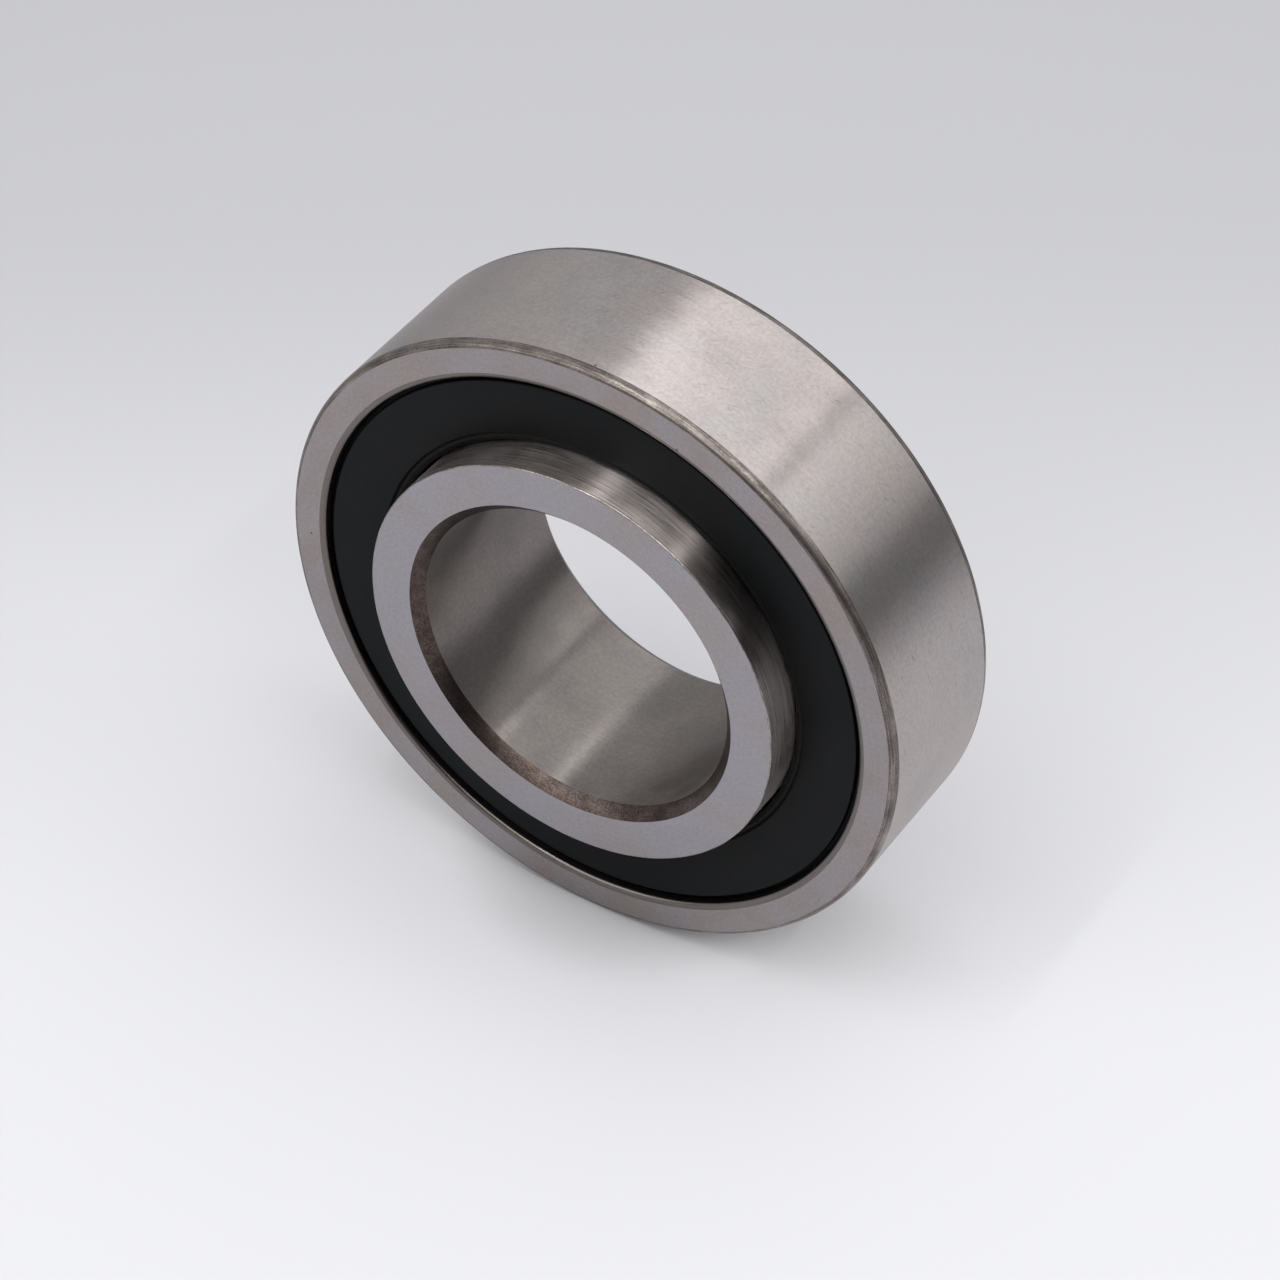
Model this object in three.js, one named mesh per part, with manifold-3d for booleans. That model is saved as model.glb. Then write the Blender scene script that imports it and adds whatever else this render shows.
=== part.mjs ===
// Sealed single-row deep groove ball bearing with an inner ring wider than its outer ring.
// Millimetres. The bearing axis is Y, the front is toward -Y, and +Z is up: the bearing stands on its rim.
// The origin is on the axis, halfway along the inner ring.

import * as THREE from 'three';
import { mergeVertices } from 'three/addons/utils/BufferGeometryUtils.js';
import Module from 'manifold-3d';

const wasm = await Module();
wasm.setup();

// ---- Driving dimensions ----

const OUTER_RADIUS = 40;
const OUTER_WIDTH = 20.8;
const BORE_RADIUS = 20;
const INNER_WIDTH = 26.2;
const FRONT_STEP = 3.3; // how far the inner ring stands out of the outer ring's front face

const BALL_COUNT = 9;
const BALL_RADIUS = 6;
const PITCH_RADIUS = 30;
const RACEWAY_GAP = 0.15; // between a ball and the bottom of either raceway
const GROOVE_RADIUS = 6.25; // radius of a raceway's cross-section

const OUTER_CHAMFER = { radial: 0.7, axial: 1.1 };
const BORE_CHAMFER = { radial: 1.3, axial: 1.4 };
const EDGE_BREAK = 0.15;

const INNER_SHOULDER_RADIUS = 26.5;
const OUTER_SHOULDER_RADIUS = 33.9;
// Recess that a seal lies in: a broken edge at the face, a sloping wall and a short straight neck.
// Depths are below the outer ring's face.
const RECESS_MOUTH = { radius: 36.2, depth: 0 };
const RECESS_EDGE = { radius: 35.8, depth: 0.1 };
const RECESS_NECK = { radius: 35.05, depth: 0.65 };
const SEAL_GROOVE = { radius: 36.3, from: 1.45, to: 3.05, mouth: 1.2 };

// The seal's face dishes in slightly, from its rim down to a groove, with a low lip beside the inner ring.
const SEAL_RIM = { radius: 34.8, depth: 0.7 };
const SEAL_DISH = { radius: 27.95, depth: 1.05 };
const SEAL_LINE = { radius: 27.75, depth: 1.35 };
const SEAL_LIP_CREST = { radius: 27.45, depth: 1.1 };
const SEAL_LIP = { radius: 26.8, depth: 1.45, root: 27.9, to: 2.6 };
const SEAL_SKIN_BACK = 1.4; // back of the rubber that covers the steel insert
const SEAL_BEAD = { radius: 36.05, from: 1.7, to: 2.75, corner: 0.35, relief: 35.35 };
const INSERT = { inner: 28.1, outer: 34, front: 1.6, thickness: 0.5, flange: 1.1, gap: 0.2 };

const CAGE_THICKNESS = 0.9;
const CAGE_HALF_GAP = 0.15; // half of the gap between the two cage halves
const CAGE_INNER = 27.8;
const CAGE_OUTER = 32.2;
const POCKET_GAP = 0.25; // between a ball and its pocket

const RIVET = { shank: 0.95, hole: 1.2, head: 1.8, headHeight: 0.8, headGap: 0.2 };

const RING_SIDES = 48;
const RACEWAY_STEPS = 6;
const CHAMFER_STEPS = 2;
const POCKET_STEPS = 10;
const RIVET_SIDES = 10;
const HEAD_STEPS = 2;
const BALL_SIDES = { round: 14, poleToPole: 10 };

// ---- Worked-out places ----

const BALL_PLANE = (OUTER_WIDTH - INNER_WIDTH) / 2 + FRONT_STEP;
const BALL_PITCH_ANGLE = (2 * Math.PI) / BALL_COUNT;

// ---- Materials ----

function metal(color, roughness) {
  return new THREE.MeshStandardMaterial({ color, roughness, metalness: 1 });
}

const ringSteel = metal(0x9c9792, 0.3);
const ballSteel = metal(0xc9cbce, 0.08);
const cageSteel = metal(0x8e8b84, 0.4);
const insertSteel = metal(0x77777a, 0.5);
const sealRubber = new THREE.MeshStandardMaterial({ color: 0x1d2022, roughness: 0.6, metalness: 0 });

// ---- Profiles ----
// A profile point is [radius, y]. Profiles run with the outside of the ring going up, toward +Y.

// Corner radius of a regular polygon whose flats lie at the given radius.
function acrossFlats(radius) {
  return radius / Math.cos(Math.PI / RING_SIDES);
}

function arc(centre, radii, fromAngle, toAngle, steps) {
  const points = [];
  for (let i = 0; i <= steps; i += 1) {
    const angle = fromAngle + ((toAngle - fromAngle) * i) / steps;
    points.push([centre[0] + radii[0] * Math.cos(angle), centre[1] + radii[1] * Math.sin(angle)]);
  }
  return points;
}

function mirrorAcross(points, plane) {
  return points.map(([radius, y]) => [radius, 2 * plane - y]).reverse();
}

// Turns a closed profile about the Y axis, with a flat of the polygon facing straight down.
function turned(profile) {
  const points = [...profile, profile[0]].map(([radius, y]) => new THREE.Vector2(radius, y));
  return new THREE.LatheGeometry(points, RING_SIDES, Math.PI / RING_SIDES);
}

// ---- Rings ----

// Half of a raceway's cross-section, from its edge at the shoulder to its bottom at the ball plane.
function outerRaceway() {
  const centre = PITCH_RADIUS + BALL_RADIUS + RACEWAY_GAP - GROOVE_RADIUS;
  const edge = Math.acos((OUTER_SHOULDER_RADIUS - centre) / GROOVE_RADIUS);
  return arc([centre, BALL_PLANE], [GROOVE_RADIUS, GROOVE_RADIUS], edge, 0, RACEWAY_STEPS / 2);
}

function innerRaceway() {
  const centre = PITCH_RADIUS - BALL_RADIUS - RACEWAY_GAP + GROOVE_RADIUS;
  const edge = Math.PI - Math.acos((centre - INNER_SHOULDER_RADIUS) / GROOVE_RADIUS);
  return arc([centre, BALL_PLANE], [GROOVE_RADIUS, GROOVE_RADIUS], Math.PI, edge, RACEWAY_STEPS / 2);
}

function outerRing() {
  const face = BALL_PLANE + OUTER_WIDTH / 2;
  const { radial, axial } = OUTER_CHAMFER;
  const chamfer = arc([OUTER_RADIUS - radial, face - axial], [radial, axial], 0, Math.PI / 2, CHAMFER_STEPS);
  const recess = [
    [RECESS_MOUTH.radius, face - RECESS_MOUTH.depth],
    [RECESS_EDGE.radius, face - RECESS_EDGE.depth],
    [RECESS_NECK.radius, face - RECESS_NECK.depth],
    [RECESS_NECK.radius, face - SEAL_GROOVE.mouth],
    [SEAL_GROOVE.radius, face - SEAL_GROOVE.from],
    [SEAL_GROOVE.radius, face - SEAL_GROOVE.to],
    [OUTER_SHOULDER_RADIUS, face - SEAL_GROOVE.to],
  ];
  const backHalf = [...chamfer, ...recess, ...outerRaceway()];
  const frontHalf = mirrorAcross(backHalf, BALL_PLANE).slice(1);
  const profile = [...backHalf, ...frontHalf].map(([radius, y]) => [acrossFlats(radius), y]);
  return turned(profile);
}

function innerRing() {
  const face = INNER_WIDTH / 2;
  const raceway = innerRaceway();
  const boreFlats = acrossFlats(BORE_RADIUS);
  const backEdge = [
    [INNER_SHOULDER_RADIUS, face - EDGE_BREAK],
    [INNER_SHOULDER_RADIUS - EDGE_BREAK, face],
    [BORE_RADIUS + BORE_CHAMFER.radial, face],
    [boreFlats, face - BORE_CHAMFER.axial],
  ];
  const frontEdge = mirrorAcross(backEdge, 0);
  const frontRaceway = mirrorAcross(raceway, BALL_PLANE).slice(0, -1);
  return turned([...frontEdge, ...frontRaceway, ...raceway, ...backEdge]);
}

// ---- Balls ----

function ball() {
  return new THREE.SphereGeometry(BALL_RADIUS, BALL_SIDES.round, BALL_SIDES.poleToPole);
}

// ---- Cage ----

// A cage half as a closed strip: at each station, the inner and outer surface of the sheet,
// given as an offset along the pitch circle and a height above the ball plane.
function pocketStations() {
  const innerRadius = BALL_RADIUS + POCKET_GAP;
  const outerRadius = innerRadius + CAGE_THICKNESS;
  const innerStart = Math.asin(CAGE_HALF_GAP / innerRadius);
  const outerStart = Math.asin((CAGE_HALF_GAP + CAGE_THICKNESS) / outerRadius);
  const along = (start) => arc([0, 0], [1, 1], Math.PI - start, start, POCKET_STEPS);
  const innerArc = along(innerStart);
  const outerArc = along(outerStart);
  return innerArc.map(([x, y], i) => ({
    inner: [x * innerRadius, y * innerRadius],
    outer: [outerArc[i][0] * outerRadius, outerArc[i][1] * outerRadius],
  }));
}

function bridgeStation() {
  return { inner: [0, CAGE_HALF_GAP], outer: [0, CAGE_HALF_GAP + CAGE_THICKNESS] };
}

// Point of the cage at a distance from the bearing axis, offset sideways from the direction of an angle.
function cagePoint([offset, height], radius, angle, side) {
  const forward = Math.sqrt(radius * radius - offset * offset);
  const x = forward * Math.cos(angle) - offset * Math.sin(angle);
  const z = forward * Math.sin(angle) + offset * Math.cos(angle);
  return [x, side * height, z];
}

function stripGeometry(sections, side) {
  const corners = sections[0].length;
  const indices = [];
  sections.forEach((_, s) => {
    const next = (s + 1) % sections.length;
    for (let c = 0; c < corners; c += 1) {
      const d = (c + 1) % corners;
      const quad = [s * corners + c, next * corners + c, next * corners + d, s * corners + d];
      const [p, q, r, t] = side < 0 ? quad : [...quad].reverse();
      indices.push(p, q, r, p, r, t);
    }
  });
  const geometry = new THREE.BufferGeometry();
  geometry.setAttribute('position', new THREE.Float32BufferAttribute(sections.flat(2), 3));
  geometry.setIndex(indices);
  return geometry;
}

function cageStrip(side) {
  const sections = [];
  const addSection = (station, angle) => {
    sections.push([
      cagePoint(station.inner, CAGE_INNER, angle, side),
      cagePoint(station.inner, CAGE_OUTER, angle, side),
      cagePoint(station.outer, CAGE_OUTER, angle, side),
      cagePoint(station.outer, CAGE_INNER, angle, side),
    ]);
  };
  for (let i = 0; i < BALL_COUNT; i += 1) {
    const angle = ballAngle(i);
    pocketStations().forEach((station) => addSection(station, angle));
    addSection(bridgeStation(), angle + BALL_PITCH_ANGLE / 2);
  }
  return stripGeometry(sections, side);
}

// side is -1 for the front half of the cage and +1 for the back half.
function cageHalf(side) {
  let solid = toSolid(cageStrip(side));
  const holeLength = 3 * (CAGE_HALF_GAP + CAGE_THICKNESS);
  for (let i = 0; i < BALL_COUNT; i += 1) {
    const hole = new THREE.CylinderGeometry(RIVET.hole, RIVET.hole, holeLength, RIVET_SIDES);
    const place = onPitchCircle(rivetAngle(i));
    hole.translate(place.x, 0, place.z);
    solid = solid.subtract(toSolid(hole));
  }
  return fromSolid(solid);
}

function rivet() {
  const seat = CAGE_HALF_GAP + CAGE_THICKNESS + RIVET.headGap;
  const dome = arc([0, seat], [RIVET.head, RIVET.headHeight], 0, Math.PI / 2, HEAD_STEPS);
  dome[dome.length - 1][0] = 0;
  const half = [[RIVET.shank, seat], ...dome];
  const points = [...mirrorAcross(half, 0), ...half].map(([radius, y]) => new THREE.Vector2(radius, y));
  return new THREE.LatheGeometry(points, RIVET_SIDES);
}

// ---- Seals ----
// A seal's outline is given as [radius, depth below the outer ring's face].

function sealRing(outline, side) {
  const face = OUTER_WIDTH / 2;
  const profile = outline.map(([radius, depth]) => [radius, BALL_PLANE + side * (face - depth)]);
  return turned(side > 0 ? profile : profile.reverse());
}

// Rubber over the insert's outside, round its outer flange and down its inner edge to the lip.
function sealOutline() {
  const innerFlange = INSERT.outer + INSERT.gap;
  return [
    [SEAL_RIM.radius, SEAL_RIM.depth],
    [SEAL_DISH.radius, SEAL_DISH.depth],
    [SEAL_LINE.radius, SEAL_LINE.depth],
    [SEAL_LIP_CREST.radius, SEAL_LIP_CREST.depth],
    [SEAL_LIP.radius, SEAL_LIP.depth],
    [SEAL_LIP.radius, SEAL_LIP.to],
    [SEAL_LIP.root, SEAL_LIP.to],
    [SEAL_LIP.root, SEAL_SKIN_BACK],
    [innerFlange, SEAL_SKIN_BACK],
    [innerFlange, SEAL_BEAD.to],
    [SEAL_BEAD.relief, SEAL_BEAD.to],
    [SEAL_BEAD.radius, SEAL_BEAD.to - SEAL_BEAD.corner],
    [SEAL_BEAD.radius, SEAL_BEAD.from],
    [SEAL_RIM.radius, SEAL_BEAD.from - SEAL_BEAD.corner],
  ];
}

function insertOutline() {
  const back = INSERT.front + INSERT.thickness;
  return [
    [INSERT.outer, INSERT.front],
    [INSERT.inner, INSERT.front],
    [INSERT.inner, back],
    [INSERT.outer - INSERT.thickness, back],
    [INSERT.outer - INSERT.thickness, INSERT.front + INSERT.flange],
    [INSERT.outer, INSERT.front + INSERT.flange],
  ];
}

// ---- Solids ----

function toSolid(geometry) {
  const bare = geometry.clone();
  bare.deleteAttribute('normal');
  bare.deleteAttribute('uv');
  const merged = mergeVertices(bare, 1e-4);
  const vertProperties = new Float32Array(merged.attributes.position.array);
  const triVerts = new Uint32Array(merged.index.array);
  return new wasm.Manifold(new wasm.Mesh({ numProp: 3, vertProperties, triVerts }));
}

function fromSolid(solid) {
  const { vertProperties, triVerts } = solid.getMesh();
  const geometry = new THREE.BufferGeometry();
  geometry.setAttribute('position', new THREE.Float32BufferAttribute(vertProperties, 3));
  geometry.setIndex([...triVerts]);
  geometry.computeVertexNormals();
  return geometry;
}

// ---- Assembly ----

function ballAngle(i) {
  return Math.PI / 2 + i * BALL_PITCH_ANGLE;
}

function rivetAngle(i) {
  return ballAngle(i) + BALL_PITCH_ANGLE / 2;
}

function onPitchCircle(angle) {
  return new THREE.Vector3(PITCH_RADIUS * Math.cos(angle), 0, PITCH_RADIUS * Math.sin(angle));
}

function named(name, geometry, material) {
  const mesh = new THREE.Mesh(geometry, material);
  mesh.name = name;
  return mesh;
}

const bearing = new THREE.Group();
bearing.add(named('outer_ring', outerRing(), ringSteel));
bearing.add(named('inner_ring', innerRing(), ringSteel));
for (const [end, side] of [['front', -1], ['back', 1]]) {
  bearing.add(named(`seal_${end}`, sealRing(sealOutline(), side), sealRubber));
  bearing.add(named(`seal_insert_${end}`, sealRing(insertOutline(), side), insertSteel));
}

// Everything that circles between the rings, built about the ball plane.
const ballPlane = new THREE.Group();
ballPlane.position.y = BALL_PLANE;
bearing.add(ballPlane);
ballPlane.add(named('cage_front', cageHalf(-1), cageSteel));
ballPlane.add(named('cage_back', cageHalf(1), cageSteel));
for (let i = 0; i < BALL_COUNT; i += 1) {
  const ballMesh = named(`ball_${i + 1}`, ball(), ballSteel);
  ballMesh.position.copy(onPitchCircle(ballAngle(i)));
  const rivetMesh = named(`rivet_${i + 1}`, rivet(), cageSteel);
  rivetMesh.position.copy(onPitchCircle(rivetAngle(i)));
  ballPlane.add(ballMesh, rivetMesh);
}

export default bearing;
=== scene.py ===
import math

import bmesh
import bpy
from mathutils import Matrix, Vector


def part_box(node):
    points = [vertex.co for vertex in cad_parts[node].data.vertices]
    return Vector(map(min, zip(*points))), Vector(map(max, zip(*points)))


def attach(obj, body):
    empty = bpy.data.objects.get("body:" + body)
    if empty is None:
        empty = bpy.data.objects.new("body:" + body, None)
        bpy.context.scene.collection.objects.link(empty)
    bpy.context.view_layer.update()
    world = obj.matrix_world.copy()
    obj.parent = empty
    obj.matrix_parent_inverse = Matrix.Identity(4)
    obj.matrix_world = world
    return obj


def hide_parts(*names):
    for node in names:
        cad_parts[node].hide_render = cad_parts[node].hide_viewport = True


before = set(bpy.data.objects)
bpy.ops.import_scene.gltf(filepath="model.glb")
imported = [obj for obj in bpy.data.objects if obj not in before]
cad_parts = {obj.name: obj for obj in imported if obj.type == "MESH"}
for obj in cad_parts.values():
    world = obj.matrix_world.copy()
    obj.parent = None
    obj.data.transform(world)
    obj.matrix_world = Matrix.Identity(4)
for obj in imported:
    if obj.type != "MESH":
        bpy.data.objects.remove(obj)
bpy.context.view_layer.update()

MM = 0.001
MERGE_DISTANCE = 1e-7  # metres, to close a mesh where an outline meets its axis

# ---- Places from the frame, in millimetres ----
# The bearing axis is Y, the front is toward -Y, and the origin is halfway along the inner ring.


def millimetres(node):
    low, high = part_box(node)
    return [value / MM for value in low], [value / MM for value in high]


OUTER_LOW, OUTER_HIGH = millimetres("outer_ring")
INNER_LOW, INNER_HIGH = millimetres("inner_ring")
BALL_LOW, BALL_HIGH = millimetres("ball_1")
OUTER_RADIUS = -OUTER_LOW[2]
BALL_PLANE = (OUTER_LOW[1] + OUTER_HIGH[1]) / 2
BALL_RADIUS = (BALL_HIGH[1] - BALL_LOW[1]) / 2
PITCH_RADIUS = (BALL_LOW[2] + BALL_HIGH[2]) / 2
BALL_COUNT = sum(name.startswith("ball_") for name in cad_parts)


def centre_of(node):
    low, high = millimetres(node)
    return [(a + b) / 2 for a, b in zip(low, high)]


# ---- Detail dimensions, in millimetres ----

AROUND = 384  # steps round a ring
SHARP_ANGLE = 34  # degrees, from which an edge is shaded sharp
BEND_LIMIT = 0.48  # of a side's length, for the bend at either end of it

OUTER_CHAMFER = (0.7, 1.1)  # radial, axial
CHAMFER_STEPS = 10
MOUTH_RADIUS = 36.2  # where the seal recess meets the outer ring's face
MOUTH_ROUNDING = (0.75, 0.5)  # radial, axial
MOUTH_STEPS = 12
WALL_DEPTH = 0.3  # where the mouth's darker steel gives way to the recess wall's darker still, painted shade deepening into the recess
SEAL_LIP_DEPTH = 1.2
SEAL_GROOVE_RADIUS = 36.3
SEAL_GROOVE_DEPTHS = (1.45, 3.05)
OUTER_SHOULDER_RADIUS = 33.9

BORE_RADIUS = 20.0
BORE_CHAMFER = (1.3, 1.4)
BORE_CHAMFER_MIDDLE = (0.45, 0.5)  # shares of the chamfer, so that it bulges a little
BORE_BEND = (0.1, 0.14)  # from the chamfer into the bore
FACE_BEND = (0.04, 0.06)  # from the chamfer into the face
FACE_BEND_END = 0.03
SHOULDER_RADIUS = 26.5
EDGE_BREAK = 0.15
EDGE_STEPS = 4

RACEWAY_GAP = 0.15
GROOVE_RADIUS = 6.25
RACEWAY_STEPS = 16

CAGE_INNER_RADIUS = 27.8
CAGE_OUTER_RADIUS = 32.2
CAGE_THICKNESS = 0.9
CAGE_HALF_GAP = 0.15
CAGE_EDGE_BEND = 0.2
POCKET_GAP = 0.25
POCKET_STEPS = 32
BRIDGE_LEANS = (-0.06, -0.03, 0.0, 0.03, 0.06)  # of the flat stations between two pockets, in radians
RIVET_SHANK_RADIUS = 0.95
RIVET_HEAD = (1.8, 1.0)  # radial, axial
RIVET_STEPS = 32
RIVET_HEAD_STEPS = 8
BALL_SUBDIVISIONS = 5


# ---- Outlines ----
# An outline is a closed list of (radius, y, zone) in millimetres. The zone names the finish of the
# surface that runs from that point to the next one.


def arc(centre, radii, start, end, steps):
    points = []
    for i in range(steps + 1):
        angle = math.radians(start + (end - start) * i / steps)
        points.append((centre[0] + radii[0] * math.cos(angle), centre[1] + radii[1] * math.sin(angle)))
    return points


def rounded(corners, steps=4):
    """Replaces each corner, a (radius, y, rounding, zone), by a soft bend that reaches rounding away."""
    outline = []
    count = len(corners)
    for i, (radius, y, rounding, zone) in enumerate(corners):
        corner = Vector((radius, y))
        before = Vector(corners[i - 1][:2]) - corner
        after = Vector(corners[(i + 1) % count][:2]) - corner
        reach = min(rounding, BEND_LIMIT * before.length, BEND_LIMIT * after.length)
        if reach <= 0:
            outline.append((radius, y, zone))
            continue
        start = corner + before.normalized() * reach
        end = corner + after.normalized() * reach
        for k in range(steps + 1):
            t = k / steps
            point = start * (1 - t) ** 2 + corner * (2 * t * (1 - t)) + end * t**2
            outline.append((point.x, point.y, zone))
    return outline


def finished(points, zone):
    return [(radius, y, zone) for radius, y in points]


def ring_outline(half):
    """Both halves of a ring's outline. half(side) runs from the seat's end to the raceway's bottom."""
    back = half(1)
    front = half(-1)
    outline = back[:-1]
    for i in range(len(front) - 1, 0, -1):
        radius, y, _ = front[i]
        outline.append((radius, y, front[i - 1][2]))
    radius, y, _ = front[0]
    outline.append((radius, y, "seat"))
    return outline


def outer_half(side):
    face = BALL_PLANE + side * (OUTER_HIGH[1] - BALL_PLANE)
    radial, axial = OUTER_CHAMFER
    mouth_radial, mouth_axial = MOUTH_ROUNDING
    groove_start, groove_end = SEAL_GROOVE_DEPTHS

    def at(radius, depth, zone):
        return (radius, face - side * depth, zone)

    chamfer = arc((OUTER_RADIUS - radial, axial), (radial, -axial), 0, 90, CHAMFER_STEPS)
    points = [at(radius, depth, "chamfer") for radius, depth in chamfer]
    points[-1] = at(OUTER_RADIUS - radial, 0, "face")
    # The mouth, and the wall beyond WALL_DEPTH, get darker steel: painted shade deepening into the seal
    # recess.
    mouth = arc((MOUTH_RADIUS, mouth_axial), MOUTH_ROUNDING, -90, -180, MOUTH_STEPS)
    points += [at(radius, depth, "mouth" if depth < WALL_DEPTH else "wall") for radius, depth in mouth]
    points += [
        at(MOUTH_RADIUS - mouth_radial, SEAL_LIP_DEPTH, "hidden"),
        at(SEAL_GROOVE_RADIUS, groove_start, "hidden"),
        at(SEAL_GROOVE_RADIUS, groove_end, "hidden"),
        at(OUTER_SHOULDER_RADIUS, groove_end, "hidden"),
    ]
    centre = PITCH_RADIUS + BALL_RADIUS + RACEWAY_GAP - GROOVE_RADIUS
    edge = math.degrees(math.acos((OUTER_SHOULDER_RADIUS - centre) / GROOVE_RADIUS))
    groove = arc((centre, BALL_PLANE), (GROOVE_RADIUS, side * GROOVE_RADIUS), edge, 0, RACEWAY_STEPS)
    return points + finished(groove, "raceway")


def inner_half(side):
    face = side * INNER_HIGH[1]
    radial, axial = BORE_CHAMFER

    def at(radius, depth, zone):
        return (radius, face - side * depth, zone)

    points = [
        at(BORE_RADIUS, axial, "bore_chamfer"),
        at(BORE_RADIUS + BORE_BEND[0], axial - BORE_BEND[1], "bore_chamfer"),
        at(
            BORE_RADIUS + radial * BORE_CHAMFER_MIDDLE[0],
            axial * BORE_CHAMFER_MIDDLE[1],
            "bore_chamfer",
        ),
        at(BORE_RADIUS + radial - FACE_BEND[0], FACE_BEND[1], "bore_chamfer"),
        at(BORE_RADIUS + radial + FACE_BEND_END, 0, "inner_face"),
    ]
    edge_centre = (SHOULDER_RADIUS - EDGE_BREAK, EDGE_BREAK)
    shoulder_edge = arc(edge_centre, (EDGE_BREAK, -EDGE_BREAK), 90, 0, EDGE_STEPS)
    points += [at(radius, depth, "edge") for radius, depth in shoulder_edge]
    points[-1] = points[-1][:2] + ("shoulder",)
    centre = PITCH_RADIUS - BALL_RADIUS - RACEWAY_GAP + GROOVE_RADIUS
    edge = 180 - math.degrees(math.acos((centre - SHOULDER_RADIUS) / GROOVE_RADIUS))
    groove = arc((centre, BALL_PLANE), (GROOVE_RADIUS, side * GROOVE_RADIUS), edge, 180, RACEWAY_STEPS)
    return points + finished(groove, "raceway")


def seal_corners(side):
    """The seal's rubber, as corners at depths below the outer ring's face."""
    corners = [
        (34.8, 0.7, 0.18, "rubber"),
        (27.95, 1.05, 0.10, "rubber"),
        (27.75, 1.35, 0.06, "rubber"),
        (27.45, 1.1, 0.12, "rubber"),
        (26.8, 1.45, 0.15, "rubber"),
        (26.8, 2.6, 0.12, "rubber"),
        (27.9, 2.6, 0.12, "rubber"),
        (27.9, 1.4, 0.0, "rubber"),
        (34.2, 1.4, 0.0, "rubber"),
        (34.2, 2.75, 0.08, "rubber"),
        (35.35, 2.75, 0.12, "rubber"),
        (36.05, 2.4, 0.15, "rubber"),
        (36.05, 1.7, 0.15, "rubber"),
        (34.8, 1.35, 0.15, "rubber"),
    ]
    return from_face(corners, side)


def insert_corners(side):
    """The sheet steel inside the rubber, in the same way."""
    corners = [
        (34.0, 1.6, 0.35, "sheet"),
        (28.1, 1.6, 0.06, "sheet"),
        (28.1, 2.1, 0.06, "sheet"),
        (33.5, 2.1, 0.12, "sheet"),
        (33.5, 2.7, 0.06, "sheet"),
        (34.0, 2.7, 0.06, "sheet"),
    ]
    return from_face(corners, side)


def from_face(corners, side):
    """Turns depths below the outer ring's face into places along the axis."""
    half_width = OUTER_HIGH[1] - BALL_PLANE
    return [
        (radius, BALL_PLANE + side * (half_width - depth), bend, zone)
        for radius, depth, bend, zone in corners
    ]


# ---- Meshes ----


def mesh_object(name, mesh, materials):
    piece = bpy.data.objects.new(name, mesh)
    bpy.context.scene.collection.objects.link(piece)
    for material in materials:
        mesh.materials.append(material)
    return piece


def shade(mesh):
    mesh.polygons.foreach_set("use_smooth", [True] * len(mesh.polygons))
    mesh.set_sharp_from_angle(angle=math.radians(SHARP_ANGLE))


def skin(name, loops, slots, materials):
    """A closed mesh through closed loops of points in millimetres.

    slots gives the number of the material on each of a loop's edges.
    """
    count = len(loops[0])
    faces = []
    for i in range(len(loops)):
        this_loop = i * count
        next_loop = (i + 1) % len(loops) * count
        for k in range(count):
            following = (k + 1) % count
            faces.append((this_loop + k, this_loop + following, next_loop + following, next_loop + k))
    mesh = bpy.data.meshes.new(name)
    mesh.from_pydata([Vector(point) * MM for loop in loops for point in loop], [], faces)
    mesh.polygons.foreach_set("material_index", slots * len(loops))
    work = bmesh.new()
    work.from_mesh(mesh)
    bmesh.ops.remove_doubles(work, verts=work.verts, dist=MERGE_DISTANCE)
    bmesh.ops.delete(work, geom=[edge for edge in work.edges if edge.is_wire], context="EDGES")
    bmesh.ops.recalc_face_normals(work, faces=work.faces)
    work.to_mesh(mesh)
    work.free()
    shade(mesh)
    return mesh_object(name, mesh, materials)


def turned(name, outline, finishes, steps=AROUND, axis=(0.0, 0.0)):
    """Turns a closed outline about a line along Y. finishes maps a zone to its material."""
    materials = list(dict.fromkeys(finishes[zone] for _, _, zone in outline))
    slots = [materials.index(finishes[zone]) for _, _, zone in outline]
    loops = []
    for i in range(steps):
        angle = 2 * math.pi * i / steps
        across, up = math.cos(angle), math.sin(angle)
        loops.append(
            [(axis[0] + radius * across, y, axis[1] + radius * up) for radius, y, _ in outline]
        )
    return skin(name, loops, slots, materials)


def pocket_stations():
    """The cage sheet over one ball, as pairs of a near and a far (offset along the circle, height)."""
    near_radius = BALL_RADIUS + POCKET_GAP
    far_radius = near_radius + CAGE_THICKNESS
    near_start = math.degrees(math.asin(CAGE_HALF_GAP / near_radius))
    far_start = math.degrees(math.asin((CAGE_HALF_GAP + CAGE_THICKNESS) / far_radius))
    near = arc((0, 0), (near_radius, near_radius), 180 - near_start, near_start, POCKET_STEPS)
    far = arc((0, 0), (far_radius, far_radius), 180 - far_start, far_start, POCKET_STEPS)
    return list(zip(near, far))


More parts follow.
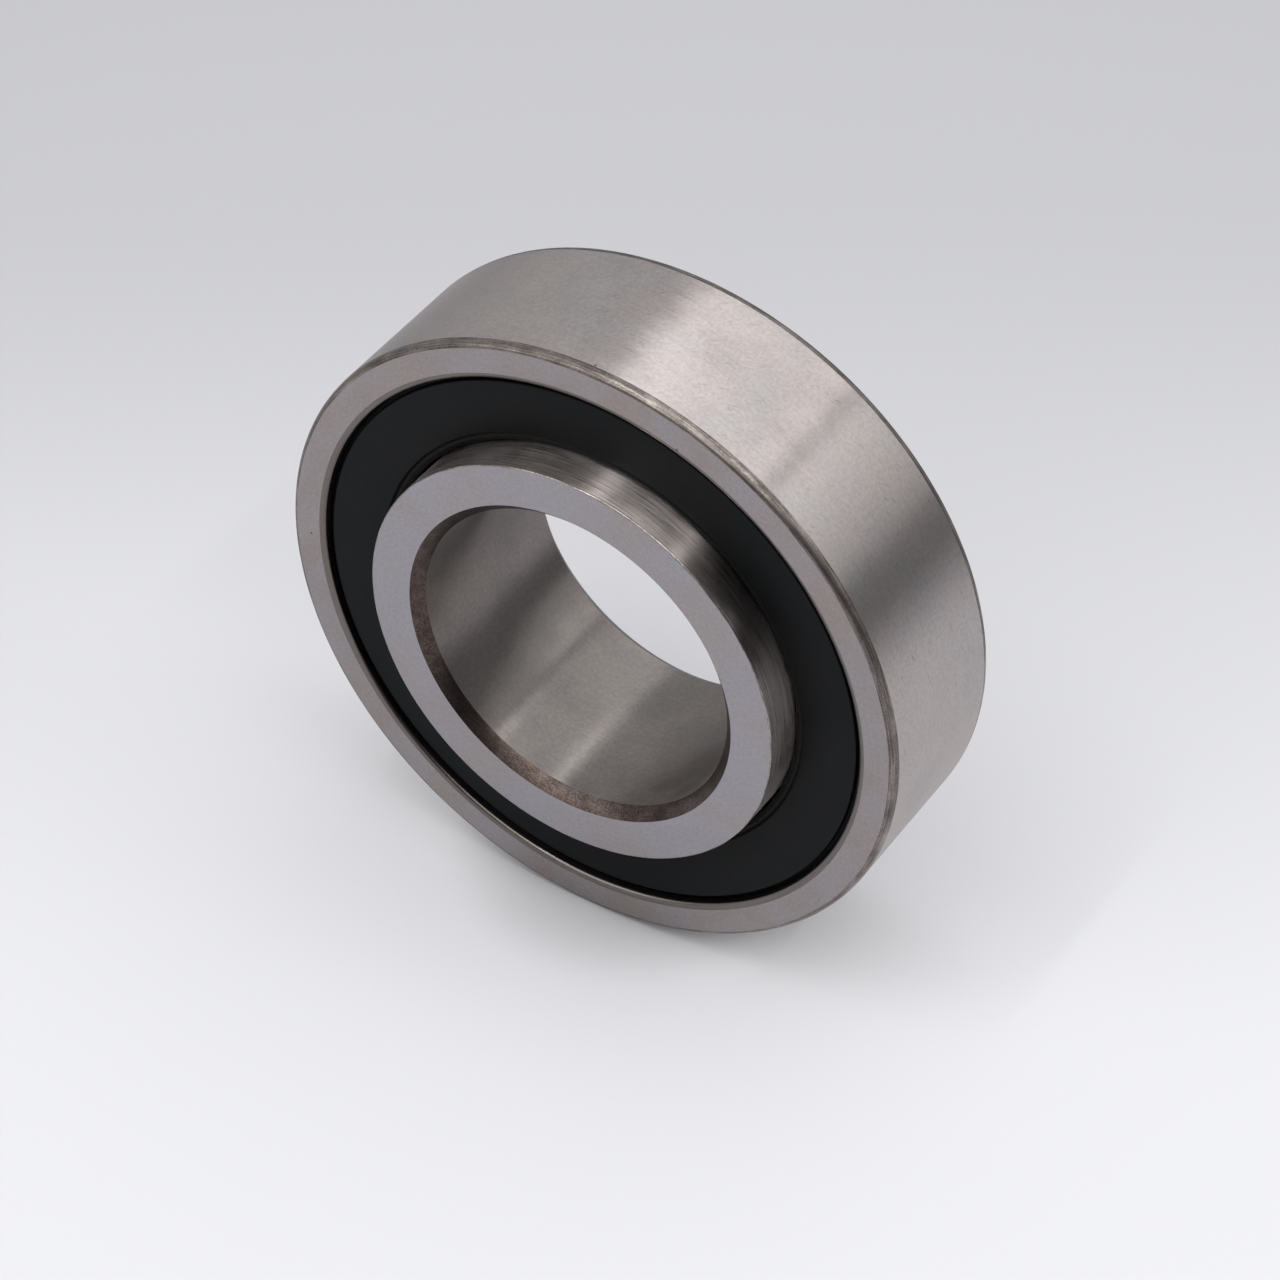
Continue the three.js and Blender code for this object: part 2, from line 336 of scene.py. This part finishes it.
def cage_half(name, side):
    """A ribbon round the pitch circle: over each ball in turn, with a flat bridge after it."""
    sheet = [
        (CAGE_INNER_RADIUS, 0, CAGE_EDGE_BEND, "sheet"),
        (CAGE_OUTER_RADIUS, 0, CAGE_EDGE_BEND, "sheet"),
        (CAGE_OUTER_RADIUS, CAGE_THICKNESS, CAGE_EDGE_BEND, "sheet"),
        (CAGE_INNER_RADIUS, CAGE_THICKNESS, CAGE_EDGE_BEND, "sheet"),
    ]
    section = [(radius, depth / CAGE_THICKNESS) for radius, depth, _ in rounded(sheet)]
    bridge = ((0, CAGE_HALF_GAP), (0, CAGE_HALF_GAP + CAGE_THICKNESS))
    loops = []
    for i in range(1, BALL_COUNT + 1):
        x, _, z = centre_of(f"ball_{i}")
        angle = math.atan2(z, x)
        stations = [(angle, station) for station in pocket_stations()]
        stations += [(angle + math.pi / BALL_COUNT + lean, bridge) for lean in BRIDGE_LEANS]
        for turn, (near, far) in stations:
            loop = []
            for radius, share in section:
                offset = near[0] + (far[0] - near[0]) * share
                height = near[1] + (far[1] - near[1]) * share
                ahead = math.sqrt(radius**2 - offset**2)
                across = ahead * math.cos(turn) - offset * math.sin(turn)
                up = ahead * math.sin(turn) + offset * math.cos(turn)
                loop.append((across, BALL_PLANE + side * height, up))
            loops.append(loop)
    return skin(name, loops, [0] * len(section), [cage_steel])


def ball(name, centre):
    mesh = bpy.data.meshes.new(name)
    work = bmesh.new()
    bmesh.ops.create_icosphere(
        work,
        subdivisions=BALL_SUBDIVISIONS,
        radius=BALL_RADIUS * MM,
        matrix=Matrix.Translation(Vector(centre) * MM),
    )
    work.to_mesh(mesh)
    work.free()
    shade(mesh)
    return mesh_object(name, mesh, [ball_steel])


def rivet(name, centre):
    seat = CAGE_HALF_GAP + CAGE_THICKNESS
    half = [(RIVET_SHANK_RADIUS, seat)] + arc((0, seat), RIVET_HEAD, 0, 90, RIVET_HEAD_STEPS)
    half[-1] = (0, half[-1][1])
    points = half + [(radius, -height) for radius, height in reversed(half)]
    outline = [(radius, centre[1] + height, "rivet") for radius, height in points]
    axis = (centre[0], centre[2])
    return turned(name, outline, {"rivet": rivet_steel}, steps=RIVET_STEPS, axis=axis)


def place(piece, node, body):
    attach(piece, body)
    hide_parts(node)


# ---- Node materials ----
# Sizes are in millimetres, and the other numbers are shares.


PATCH_SIZE = 7.0
STAIN_SIZE = 9.0
GRAIN_SIZE = 0.42
SPREAD = (0.3, 0.7)  # where most of a noise's values lie
WIDE_SPREAD = (0.25, 0.75)
STAIN_SPREAD = (0.42, 0.62)
PIT_SPACING = 5.5
PIT_SIZE = 0.22
PIT_TONE = 0.35  # of the steel round it
PIT_ROUGHENING = 0.3
SCRATCH = (2.2, 0.11)  # length, width
SCRATCH_TONE = 0.4
SCRATCH_SPREAD = (0.76, 0.80)
SCRATCH_AXES = ((0.62, 0.62, 0.48), (0.66, -0.74, 0.10), (0.42, 0.26, -0.87))  # along, across, deep
ACROSS_THE_MARKS = 0.25  # of a full turn, from the tangent round the axis
RADIUS_SHARE = 1.37  # marks move on by this much for each millimetre outward, so that faces get rings
DUST = (0.12, 0.12, 0.12)
DUST_SPACING = 3.2
DUST_SIZE = 0.07
DUST_SHARE = 0.3
DUST_STRENGTH = 0.5


class Nodes:
    """Short ways to add nodes to a tree."""

    def __init__(self, tree):
        self.tree = tree

    def feed(self, socket, value):
        if isinstance(value, bpy.types.NodeSocket):
            self.tree.links.new(value, socket)
        else:
            socket.default_value = value

    def node(self, kind, **inputs):
        made = self.tree.nodes.new(kind)
        for key, value in inputs.items():
            self.feed(made.inputs[key], value)
        return made

    def vector(self, operation, first, second=None, scale=None):
        made = self.tree.nodes.new("ShaderNodeVectorMath")
        made.operation = operation
        self.feed(made.inputs[0], first)
        if second is not None:
            self.feed(made.inputs[1], second)
        if scale is not None:
            self.feed(made.inputs["Scale"], scale)
        return made.outputs["Value" if operation in ("LENGTH", "DOT_PRODUCT") else "Vector"]

    def number(self, operation, first, second):
        made = self.tree.nodes.new("ShaderNodeMath")
        made.operation = operation
        self.feed(made.inputs[0], first)
        self.feed(made.inputs[1], second)
        return made.outputs["Value"]

    def ranged(self, value, spread, to_low, to_high, smooth=False):
        """Maps a spread of values, from low to high, onto to_low to to_high."""
        made = self.node("ShaderNodeMapRange", Value=value)
        made.interpolation_type = "SMOOTHSTEP" if smooth else "LINEAR"
        made.inputs["From Min"].default_value, made.inputs["From Max"].default_value = spread
        made.inputs["To Min"].default_value = to_low
        made.inputs["To Max"].default_value = to_high
        return made.outputs["Result"]

    def blend(self, factor, first, second):
        made = self.tree.nodes.new("ShaderNodeMix")
        made.data_type = "RGBA"
        self.feed(made.inputs["Factor"], factor)
        colours = [socket for socket in made.inputs if socket.type == "RGBA"]
        for socket, value in zip(colours, (first, second)):
            self.feed(socket, (*value, 1.0) if isinstance(value, tuple) else value)
        return next(socket for socket in made.outputs if socket.type == "RGBA")


class Finish(Nodes):
    """A material whose patterns follow the bearing axis. Lengths are in millimetres."""

    def __init__(self, name, roughness, metallic=1.0):
        self.material = bpy.data.materials.new(name)
        self.material.use_nodes = True
        super().__init__(self.material.node_tree)
        self.shader = self.tree.nodes["Principled BSDF"]
        self.shader.inputs["Metallic"].default_value = metallic
        self.shader.inputs["Roughness"].default_value = roughness
        coordinates = self.node("ShaderNodeTexCoord")
        self.place = self.vector("SCALE", coordinates.outputs["Object"], scale=1 / MM)
        self.parts = self.node("ShaderNodeSeparateXYZ", Vector=self.place).outputs
        flat = self.node("ShaderNodeCombineXYZ", X=self.parts["X"], Y=0.0, Z=self.parts["Z"])
        self.radius = self.vector("LENGTH", flat.outputs["Vector"])
        self.direction = self.vector("NORMALIZE", flat.outputs["Vector"])

    def cloud(self, size, detail=2.0, seed=0.0, stretch=(1, 1, 1)):
        """Noise from 0 to 1 with features of about this size."""
        scaled = self.vector("MULTIPLY", self.place, tuple(part / size for part in stretch))
        moved = self.vector("ADD", scaled, (seed, seed * 0.7, seed * 1.3))
        made = self.node("ShaderNodeTexNoise", Vector=moved, Scale=1.0, Detail=detail, Roughness=0.55)
        return made.outputs["Fac"]

    def marks(self, length, width, detail=2.0, seed=0.0, slope=0.0):
        """Streaks that run round the axis, length by width. slope makes them climb as they go round."""
        turns = self.vector("SCALE", self.direction, scale=SHOULDER_RADIUS / length)
        across = self.number("ADD", self.parts["Y"], self.number("MULTIPLY", self.radius, RADIUS_SHARE))
        if slope:
            across = self.number("ADD", across, self.number("MULTIPLY", self.parts["X"], slope))
        narrow = self.number("MULTIPLY", across, 1 / width)
        split = self.node("ShaderNodeSeparateXYZ", Vector=turns).outputs
        moved = self.number("ADD", split["X"], seed)
        streaks = self.node("ShaderNodeCombineXYZ", X=moved, Y=narrow, Z=split["Z"]).outputs["Vector"]
        made = self.node("ShaderNodeTexNoise", Vector=streaks, Scale=1.0, Detail=detail, Roughness=0.6)
        return made.outputs["Fac"]

    def specks(self, spacing, size, share, seed=0.0):
        """1 inside scattered round specks, 0 elsewhere. share is the part of the cells that has one."""
        moved = self.vector("ADD", self.place, (seed, seed * 1.9, seed * 0.6))
        cells = self.node("ShaderNodeTexVoronoi", Vector=moved, Scale=1 / spacing, Randomness=1.0)
        edge = size / spacing
        inside = self.ranged(cells.outputs["Distance"], (edge * 0.6, edge), 1, 0, smooth=True)
        pick = self.node("ShaderNodeSeparateColor", Color=cells.outputs["Color"])
        chosen = self.number("LESS_THAN", pick.outputs["Red"], share)
        return self.number("MULTIPLY", inside, chosen)

    def scratches(self, length, width, seed=0.0):
        """1 inside a few short scratches that run askew, 0 elsewhere."""
        along, across, deep = (self.vector("DOT_PRODUCT", self.place, axis) for axis in SCRATCH_AXES)
        drawn = self.node(
            "ShaderNodeCombineXYZ",
            X=self.number("MULTIPLY", along, 1 / length),
            Y=self.number("MULTIPLY", across, 1 / width),
            Z=self.number("ADD", self.number("MULTIPLY", deep, 0.8), seed),
        )
        made = self.node("ShaderNodeTexNoise", Vector=drawn.outputs["Vector"], Scale=1.0, Detail=0.0)
        return self.ranged(made.outputs["Fac"], SCRATCH_SPREAD, 0, 1, smooth=True)

    def tinted(self, colour, factor):
        """The colour made lighter or darker by a factor that varies over the surface."""
        return self.vector("SCALE", colour, scale=factor)

    def bumps(self, height, depth, onto=None):
        made = self.node("ShaderNodeBump", Strength=1.0, Distance=depth * MM, Height=height)
        if onto is not None:
            self.feed(made.inputs["Normal"], onto)
        return made.outputs["Normal"]

    def around(self, anisotropy):
        """Highlights stretched across the marks that run round the axis."""
        tangent = self.node("ShaderNodeTangent")
        tangent.direction_type = "RADIAL"
        tangent.axis = "Y"
        self.feed(self.shader.inputs["Tangent"], tangent.outputs["Tangent"])
        self.shader.inputs["Anisotropic"].default_value = anisotropy
        self.shader.inputs["Anisotropic Rotation"].default_value = ACROSS_THE_MARKS


def steel(name, colour, roughness, anisotropy, marks, marks_depth, mottling, grain, **more):
    """Machined steel. marks is (length, width). mottling and grain are how much the tone varies.

    more may hold pits (share of cells with one), slope (of the marks), stain (a second colour, in patches),
    speckle (tone of the finest grain) and scratched (how dark the scratches are).
    """
    finish = Finish(name, roughness)
    seed = len(name)
    streaks = finish.marks(*marks, detail=3.0, seed=seed, slope=more.get("slope", 0.0))
    patches = finish.cloud(PATCH_SIZE, detail=3.0, seed=seed * 1.7)
    fine = finish.cloud(GRAIN_SIZE, detail=2.0, seed=seed * 0.9)
    speckle = more.get("speckle", 0.04)
    tone = finish.ranged(patches, SPREAD, 1 - mottling, 1 + mottling)
    tone = finish.number("MULTIPLY", tone, finish.ranged(streaks, SPREAD, 1 - grain, 1 + grain))
    tone = finish.number("MULTIPLY", tone, finish.ranged(fine, SPREAD, 1 - speckle, 1 + speckle))
    base = colour
    if "stain" in more:
        cloud = finish.cloud(STAIN_SIZE, detail=5.0, seed=seed * 2.3)
        stained = finish.ranged(cloud, STAIN_SPREAD, 0, 1, smooth=True)
        base = finish.blend(stained, colour, more["stain"])
    base = finish.tinted(base, tone)
    rough = finish.ranged(streaks, WIDE_SPREAD, roughness * 0.82, roughness * 1.2)
    rough = finish.number("ADD", rough, finish.ranged(patches, SPREAD, -0.03, 0.03))
    if "pits" in more:
        spots = finish.specks(PIT_SPACING, PIT_SIZE, more["pits"], seed=seed)
        base = finish.blend(spots, base, tuple(part * PIT_TONE for part in colour))
        rough = finish.number("ADD", rough, finish.number("MULTIPLY", spots, PIT_ROUGHENING))
    if "scratched" in more:
        lines = finish.number("MULTIPLY", finish.scratches(*SCRATCH, seed=seed), more["scratched"])
        base = finish.blend(lines, base, tuple(part * SCRATCH_TONE for part in colour))
    finish.feed(finish.shader.inputs["Base Color"], base)
    finish.feed(finish.shader.inputs["Roughness"], rough)
    normal = finish.bumps(streaks, marks_depth)
    normal = finish.bumps(fine, marks_depth * 0.6, normal)
    finish.feed(finish.shader.inputs["Normal"], normal)
    finish.around(anisotropy)
    return finish.material


def rough_turned(name, colour, dark, roughness, lump, depth, streaking, anisotropy, contrast=0.12):
    """A coarse, mottled turned surface.

    streaking is how far its lumps give way to marks round the axis, and contrast is how wide a stretch of
    the pattern lies between the two colours.
    """
    finish = Finish(name, roughness)
    lumps = finish.cloud(lump, detail=3.0, seed=3.1)
    streaks = finish.marks(lump * 12, lump * 0.6, detail=3.0, seed=8.2)
    both = finish.number(
        "ADD",
        finish.number("MULTIPLY", lumps, 1 - streaking),
        finish.number("MULTIPLY", streaks, streaking),
    )
    mixed = finish.ranged(both, (0.5 - contrast, 0.5 + contrast), 0, 1, smooth=True)
    patches = finish.ranged(finish.cloud(lump * 9, detail=3.0, seed=5.6), (0.35, 0.65), 0.78, 1.22)
    base = finish.tinted(finish.blend(mixed, dark, colour), patches)
    rough = finish.ranged(mixed, (0, 1), roughness * 1.2, roughness * 0.85)
    finish.feed(finish.shader.inputs["Base Color"], base)
    finish.feed(finish.shader.inputs["Roughness"], rough)
    finish.feed(finish.shader.inputs["Normal"], finish.bumps(both, depth))
    finish.around(anisotropy)
    return finish.material


def rubber(name, colour, roughness):
    """Dull black rubber with faint rings and a little dust."""
    finish = Finish(name, roughness, metallic=0.0)
    finish.shader.inputs["Specular IOR Level"].default_value = 0.1
    patches = finish.cloud(9.0, detail=3.0, seed=4.4)
    fine = finish.cloud(0.22, detail=2.0, seed=7.7)
    tone = finish.ranged(patches, SPREAD, 0.85, 1.15)
    tone = finish.number("MULTIPLY", tone, finish.ranged(fine, SPREAD, 0.8, 1.2))
    dust = finish.specks(DUST_SPACING, DUST_SIZE, DUST_SHARE, seed=2.0)
    dust = finish.number("MULTIPLY", dust, DUST_STRENGTH)
    base = finish.blend(dust, finish.tinted(colour, tone), DUST)
    rough = finish.ranged(patches, SPREAD, roughness - 0.05, roughness + 0.06)
    rings = finish.marks(30.0, 0.35, detail=2.0, seed=1.5)
    normal = finish.bumps(fine, 0.004, finish.bumps(rings, 0.004))
    finish.feed(finish.shader.inputs["Base Color"], base)
    finish.feed(finish.shader.inputs["Roughness"], rough)
    finish.feed(finish.shader.inputs["Normal"], normal)
    return finish.material


def polished(name, colour, roughness):
    """Bright, smooth steel."""
    finish = Finish(name, roughness)
    patches = finish.cloud(2.5, detail=3.0, seed=5.0)
    fine = finish.cloud(0.12, detail=2.0, seed=1.0)
    base = finish.tinted(colour, finish.ranged(patches, SPREAD, 0.96, 1.04))
    finish.feed(finish.shader.inputs["Base Color"], base)
    finish.feed(
        finish.shader.inputs["Roughness"], finish.ranged(fine, SPREAD, roughness * 0.7, roughness * 1.4)
    )
    finish.feed(finish.shader.inputs["Normal"], finish.bumps(fine, 0.0004))
    return finish.material


WARM = (0.44, 0.394, 0.378)
COOL = (0.415, 0.385, 0.38)
DULL = (0.29, 0.262, 0.248)
OLIVE = (0.256, 0.235, 0.222)
VIOLET = (0.325, 0.309, 0.332)
TAN = (0.322, 0.296, 0.295)
ASH = (0.305, 0.28, 0.285)
BROWN = (0.30, 0.262, 0.25)

seat_steel = steel(
    "seat_steel",
    WARM,
    roughness=0.33,
    anisotropy=0.95,
    marks=(3.0, 0.14),
    marks_depth=0.0014,
    mottling=0.05,
    grain=0.05,
    pits=0.05,
    slope=0.05,
    stain=COOL,
    speckle=0.09,
    scratched=0.45,
)
bore_steel = steel(
    "bore_steel",
    DULL,
    roughness=0.375,
    anisotropy=1.0,
    marks=(5.0, 0.12),
    marks_depth=0.002,
    mottling=0.08,
    grain=0.08,
    stain=OLIVE,
    speckle=0.1,
)
face_steel = steel(
    "face_steel",
    ASH,
    roughness=0.36,
    anisotropy=0.3,
    marks=(2.5, 0.16),
    marks_depth=0.0014,
    mottling=0.05,
    grain=0.06,
    pits=0.1,
    slope=0.6,
    stain=BROWN,
    speckle=0.08,
)
inner_face_steel = steel(
    "inner_face_steel",
    VIOLET,
    roughness=0.36,
    anisotropy=0.2,
    marks=(2.0, 0.16),
    marks_depth=0.0014,
    mottling=0.03,
    grain=0.05,
    slope=0.9,
    stain=TAN,
    speckle=0.07,
)
shoulder_steel = steel(
    "shoulder_steel",
    (0.45, 0.402, 0.383),
    roughness=0.31,
    anisotropy=0.965,
    marks=(7.0, 0.12),
    marks_depth=0.004,
    mottling=0.1,
    grain=0.28,
    stain=(0.33, 0.29, 0.272),
)
raceway_steel = steel(
    "raceway_steel",
    WARM,
    roughness=0.14,
    anisotropy=0.5,
    marks=(20.0, 0.1),
    marks_depth=0.0003,
    mottling=0.02,
    grain=0.02,
)
edge_steel = rough_turned(
    "edge_steel",
    colour=(0.44, 0.39, 0.37),
    dark=(0.15, 0.13, 0.12),
    roughness=0.3,
    lump=0.25,
    depth=0.004,
    streaking=0.6,
    anisotropy=0.4,
)
chamfer_steel = rough_turned(
    "chamfer_steel",
    colour=(0.25, 0.216, 0.2),
    dark=(0.104, 0.088, 0.08),
    roughness=0.38,
    lump=0.3,
    depth=0.006,
    streaking=0.75,
    anisotropy=0.3,
)
# Painted shade: the recess mouth's steel is darkened, and the wall's below it darker still, for the shade
# inside the seal recess.
mouth_steel = steel(
    "mouth_steel",
    (0.16, 0.141, 0.132),
    roughness=0.3,
    anisotropy=0.4,
    marks=(5.0, 0.12),
    marks_depth=0.001,
    mottling=0.06,
    grain=0.08,
)
wall_steel = steel(
    "wall_steel",
    (0.085, 0.074, 0.069),
    roughness=0.3,
    anisotropy=0.6,
    marks=(9.0, 0.1),
    marks_depth=0.001,
    mottling=0.05,
    grain=0.1,
)
bore_chamfer_steel = rough_turned(
    "bore_chamfer_steel",
    colour=(0.125, 0.095, 0.085),
    dark=(0.028, 0.021, 0.019),
    roughness=0.32,
    lump=0.17,
    depth=0.01,
    streaking=0.25,
    anisotropy=0.5,
    contrast=0.26,
)
seal_rubber = rubber("seal_rubber", (0.0037, 0.0043, 0.0048), roughness=0.48)
insert_steel = steel(
    "insert_steel",
    (0.4, 0.4, 0.41),
    roughness=0.4,
    anisotropy=0.2,
    marks=(6.0, 0.3),
    marks_depth=0.001,
    mottling=0.06,
    grain=0.05,
)
ball_steel = polished("ball_steel", (0.62, 0.63, 0.64), roughness=0.09)
rivet_steel = polished("rivet_steel", (0.55, 0.54, 0.52), roughness=0.25)
cage_steel = steel(
    "cage_steel",
    (0.5, 0.49, 0.47),
    roughness=0.36,
    anisotropy=0.2,
    marks=(4.0, 0.25),
    marks_depth=0.002,
    mottling=0.06,
    grain=0.06,
)

OUTER_FINISHES = {
    "seat": seat_steel,
    "chamfer": chamfer_steel,
    "face": face_steel,
    "mouth": mouth_steel,
    "wall": wall_steel,
    "hidden": raceway_steel,
    "raceway": raceway_steel,
}
INNER_FINISHES = {
    "seat": bore_steel,
    "bore_chamfer": bore_chamfer_steel,
    "inner_face": inner_face_steel,
    "edge": edge_steel,
    "shoulder": shoulder_steel,
    "raceway": raceway_steel,
}

# ---- The bearing ----

place(turned("ring_outer", ring_outline(outer_half), OUTER_FINISHES), "outer_ring", "outer")
place(turned("ring_inner", ring_outline(inner_half), INNER_FINISHES), "inner_ring", "inner")
for end, side in (("front", -1), ("back", 1)):
    rubber_piece = turned(f"rubber_{end}", rounded(seal_corners(side)), {"rubber": seal_rubber})
    place(rubber_piece, f"seal_{end}", "outer")
    sheet_piece = turned(f"insert_{end}", rounded(insert_corners(side)), {"sheet": insert_steel})
    place(sheet_piece, f"seal_insert_{end}", "outer")
    place(cage_half(f"ribbon_{end}", side), f"cage_{end}", "cage")
for i in range(1, BALL_COUNT + 1):
    place(ball(f"sphere_{i}", centre_of(f"ball_{i}")), f"ball_{i}", f"ball_{i}")
    place(rivet(f"stud_{i}", centre_of(f"rivet_{i}")), f"rivet_{i}", "cage")

# ---- Camera ----

CAMERA_AZIMUTH = 32.67
CAMERA_ELEVATION = 41.96
CAMERA_DISTANCE = 0.48482
CAMERA_LENS = 122.33
CAMERA_SENSOR = 36
CAMERA_CLIP = 0.01
AIM_OFFSET = (0.006292, 0.001108)  # from the middle of the front face: to the right, and up


def camera_axes():
    azimuth = math.radians(CAMERA_AZIMUTH)
    elevation = math.radians(CAMERA_ELEVATION)
    level = Vector((-math.sin(azimuth), math.cos(azimuth), 0))
    right = Vector((math.cos(azimuth), math.sin(azimuth), 0))
    forward = level * math.cos(elevation) - Vector((0, 0, 1)) * math.sin(elevation)
    return right, right.cross(forward), forward


right, up, forward = camera_axes()
face_middle = Vector((0, OUTER_LOW[1] * MM, 0))
aim = face_middle + right * AIM_OFFSET[0] + up * AIM_OFFSET[1]
camera = bpy.data.objects.new("camera", bpy.data.cameras.new("camera"))
camera.data.lens = CAMERA_LENS
camera.data.sensor_width = CAMERA_SENSOR
camera.data.clip_start = CAMERA_CLIP
facing = Matrix((right, up, -forward)).transposed().to_4x4()
camera.matrix_world = Matrix.Translation(aim - forward * CAMERA_DISTANCE) @ facing
bpy.context.scene.collection.objects.link(camera)
bpy.context.scene.camera = camera

# ---- Studio ----


LAMP_HEIGHT = 0.9
STRIP_DROP = 0.02  # the narrow strips hang this far below the panels
FRONT_PANEL_PLACE = Vector((-0.45, -0.65, 0.55))
DARK_SIDE = (0.70, -0.60, -0.40)  # the surroundings darken toward here
DARK_SIDE_SPREAD = (-0.5, 0.85)
SKY_STRENGTH = 0.66
DARK_SIDE_STRENGTH = 0.03
SKY_COLOUR = (0.97, 0.98, 1.0, 1.0)


def area_lamp(name, width, depth, middle, radiance):
    lamp = bpy.data.lights.new(name, "AREA")
    lamp.shape = "RECTANGLE"
    lamp.size = width
    lamp.size_y = depth
    lamp.energy = radiance * math.pi * lamp.size * lamp.size_y
    holder = bpy.data.objects.new(name, lamp)
    holder.location = middle
    bpy.context.scene.collection.objects.link(holder)
    return holder


def soft_box(name, left_to_right, front_to_back, radiance, drop=0.0):
    """An overhead panel that faces straight down. Its sides are given as shares of the lamp height."""
    left, right_end = (side * LAMP_HEIGHT for side in left_to_right)
    front, back = (side * LAMP_HEIGHT for side in front_to_back)
    middle = ((left + right_end) / 2, (front + back) / 2, LAMP_HEIGHT - drop)
    area_lamp(name, right_end - left, back - front, middle, radiance)


soft_box("top_panel", (-0.31, 0.693), (-0.85, 0.35), 1.9)
soft_box("top_strip_left", (-0.215, -0.185), (-0.6, -0.12), 36.0, STRIP_DROP)
soft_box("front_strip", (-0.31, 0.55), (-1.35, -0.87), 2.2)
soft_box("top_strip_right", (0.597, 0.624), (-0.6, -0.12), 40.0, STRIP_DROP)
soft_box("back_panel", (-0.31, 0.69), (0.36, 1.5), 0.6)
soft_box("side_panel", (0.81, 3.0), (0.3, 1.05), 2.5)
front_panel = area_lamp("front_panel", 0.7, 0.6, FRONT_PANEL_PLACE, 1.6)
front_panel.rotation_euler = FRONT_PANEL_PLACE.to_track_quat("Z", "Y").to_euler()


def studio_world():
    world = bpy.data.worlds.new("studio")
    bpy.context.scene.world = world
    world.use_nodes = True
    sky = Nodes(world.node_tree)
    background = world.node_tree.nodes["Background"]
    coordinates = sky.node("ShaderNodeTexCoord")
    toward = sky.vector("DOT_PRODUCT", coordinates.outputs["Generated"], DARK_SIDE)
    strength = sky.ranged(toward, DARK_SIDE_SPREAD, SKY_STRENGTH, DARK_SIDE_STRENGTH, smooth=True)
    sky.feed(background.inputs["Strength"], strength)
    background.inputs["Color"].default_value = SKY_COLOUR


studio_world()

FLOOR_HALF_SIZE = 4.0
FLOOR_TINT = (0.985, 0.985, 1.02)
# Painted light: the floor glows, though it is no lamp, to lift its shadows.
FLOOR_PAINTED_GLOW = 0.42
# The floor's tone, and the stretches over which it changes, in metres from under the bearing. The tone is
# painted shade farther along the view and toward one side, and painted light toward the horizon.
NEAR_LIT_TONE = 0.48
FAR_SHADED_TONE = 0.343
NEAR_TO_FAR = (-0.02, 0.10)  # level, along the camera's view
SHADED_SIDE_DIRECTION = (0.78, 0.62, 0)
MIDDLE_TO_SHADED_SIDE = (0.12, 0.47)
SHADED_SIDE_SHARE = 0.6
MIDDLE_TO_HORIZON = (0.3, 1.2)
HORIZON_LIGHT_SHARE = 1.3
PAINTED_GLOW_TO_NONE = (0.15, 0.5)
CONTACT_SHADOW_TO_GLOW = (0.0405, 0.0462)  # from the middle of the bearing, so the glow starts where the rim touches and leaves a painted contact shadow under it


def pale_floor():
    height = OUTER_LOW[2] * MM
    half = FLOOR_HALF_SIZE
    corners = [(-half, -half, height), (half, -half, height), (half, half, height), (-half, half, height)]
    mesh = bpy.data.meshes.new("floor")
    mesh.from_pydata(corners, [], [(0, 1, 2, 3)])
    material = bpy.data.materials.new("floor_sheet")
    material.use_nodes = True
    shader = material.node_tree.nodes["Principled BSDF"]
    shader.inputs["Roughness"].default_value = 0.7
    shader.inputs["Specular IOR Level"].default_value = 0.2
    sheet = Nodes(material.node_tree)
    spot = sheet.node("ShaderNodeTexCoord").outputs["Object"]
    ahead = sheet.vector("DOT_PRODUCT", spot, (forward.x, forward.y, 0))
    aside = sheet.vector("DOT_PRODUCT", spot, SHADED_SIDE_DIRECTION)
    away = sheet.vector("LENGTH", spot)
    # Painted shade: darker farther along the view and toward the shaded side; painted light: lighter toward
    # the horizon.
    tone = sheet.ranged(ahead, NEAR_TO_FAR, NEAR_LIT_TONE, FAR_SHADED_TONE, smooth=True)
    for distance, stretch, share in (
        (aside, MIDDLE_TO_SHADED_SIDE, SHADED_SIDE_SHARE),
        (away, MIDDLE_TO_HORIZON, HORIZON_LIGHT_SHARE),
    ):
        tone = sheet.number("MULTIPLY", tone, sheet.ranged(distance, stretch, 1.0, share, smooth=True))
    tint = sheet.vector("SCALE", FLOOR_TINT, scale=tone)
    # Painted light: the glow fades away from the bearing and is held back under its rim, which paints a
    # contact shadow there.
    faded = sheet.ranged(away, PAINTED_GLOW_TO_NONE, 1.0, 0.0, smooth=True)
    lit = sheet.number("MULTIPLY", faded, sheet.ranged(away, CONTACT_SHADOW_TO_GLOW, 0.0, 1.0, smooth=True))
    sheet.feed(shader.inputs["Base Color"], tint)
    sheet.feed(shader.inputs["Emission Color"], sheet.vector("SCALE", tint, scale=lit))
    shader.inputs["Emission Strength"].default_value = FLOOR_PAINTED_GLOW
    floor = mesh_object("floor", mesh, [material])


pale_floor()

view = bpy.context.scene.view_settings
view.view_transform = "Standard"
view.look = "None"
